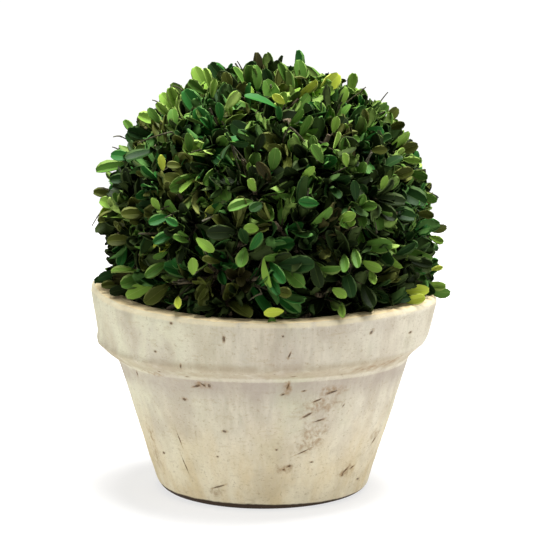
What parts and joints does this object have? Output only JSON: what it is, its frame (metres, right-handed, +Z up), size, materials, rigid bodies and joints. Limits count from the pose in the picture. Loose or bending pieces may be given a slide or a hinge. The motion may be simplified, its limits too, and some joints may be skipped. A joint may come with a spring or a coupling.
{
  "type": "box topiary ball in a clay pot",
  "caption": "Clipped ball of small box leaves on a short hidden trunk, growing in a squat round clay pot with a thick rolled rim band.",
  "frame": {"origin": "centre of the pot's flat underside, on the ground", "axes": "+Z up along the pot's axis, -Y towards the viewer of the picture, +X to that viewer's right"},
  "size_m": [0.2172, 0.2183, 0.2703],
  "materials": {
    "clay": "matte",
    "soil": "matte",
    "bark": "matte",
    "leaves": "satin"
  },
  "bodies": {
    "root": {"pot": "clay", "soil": "soil", "trunk": "bark", "foliage_ball": "leaves"}
  },
  "joints": []
}
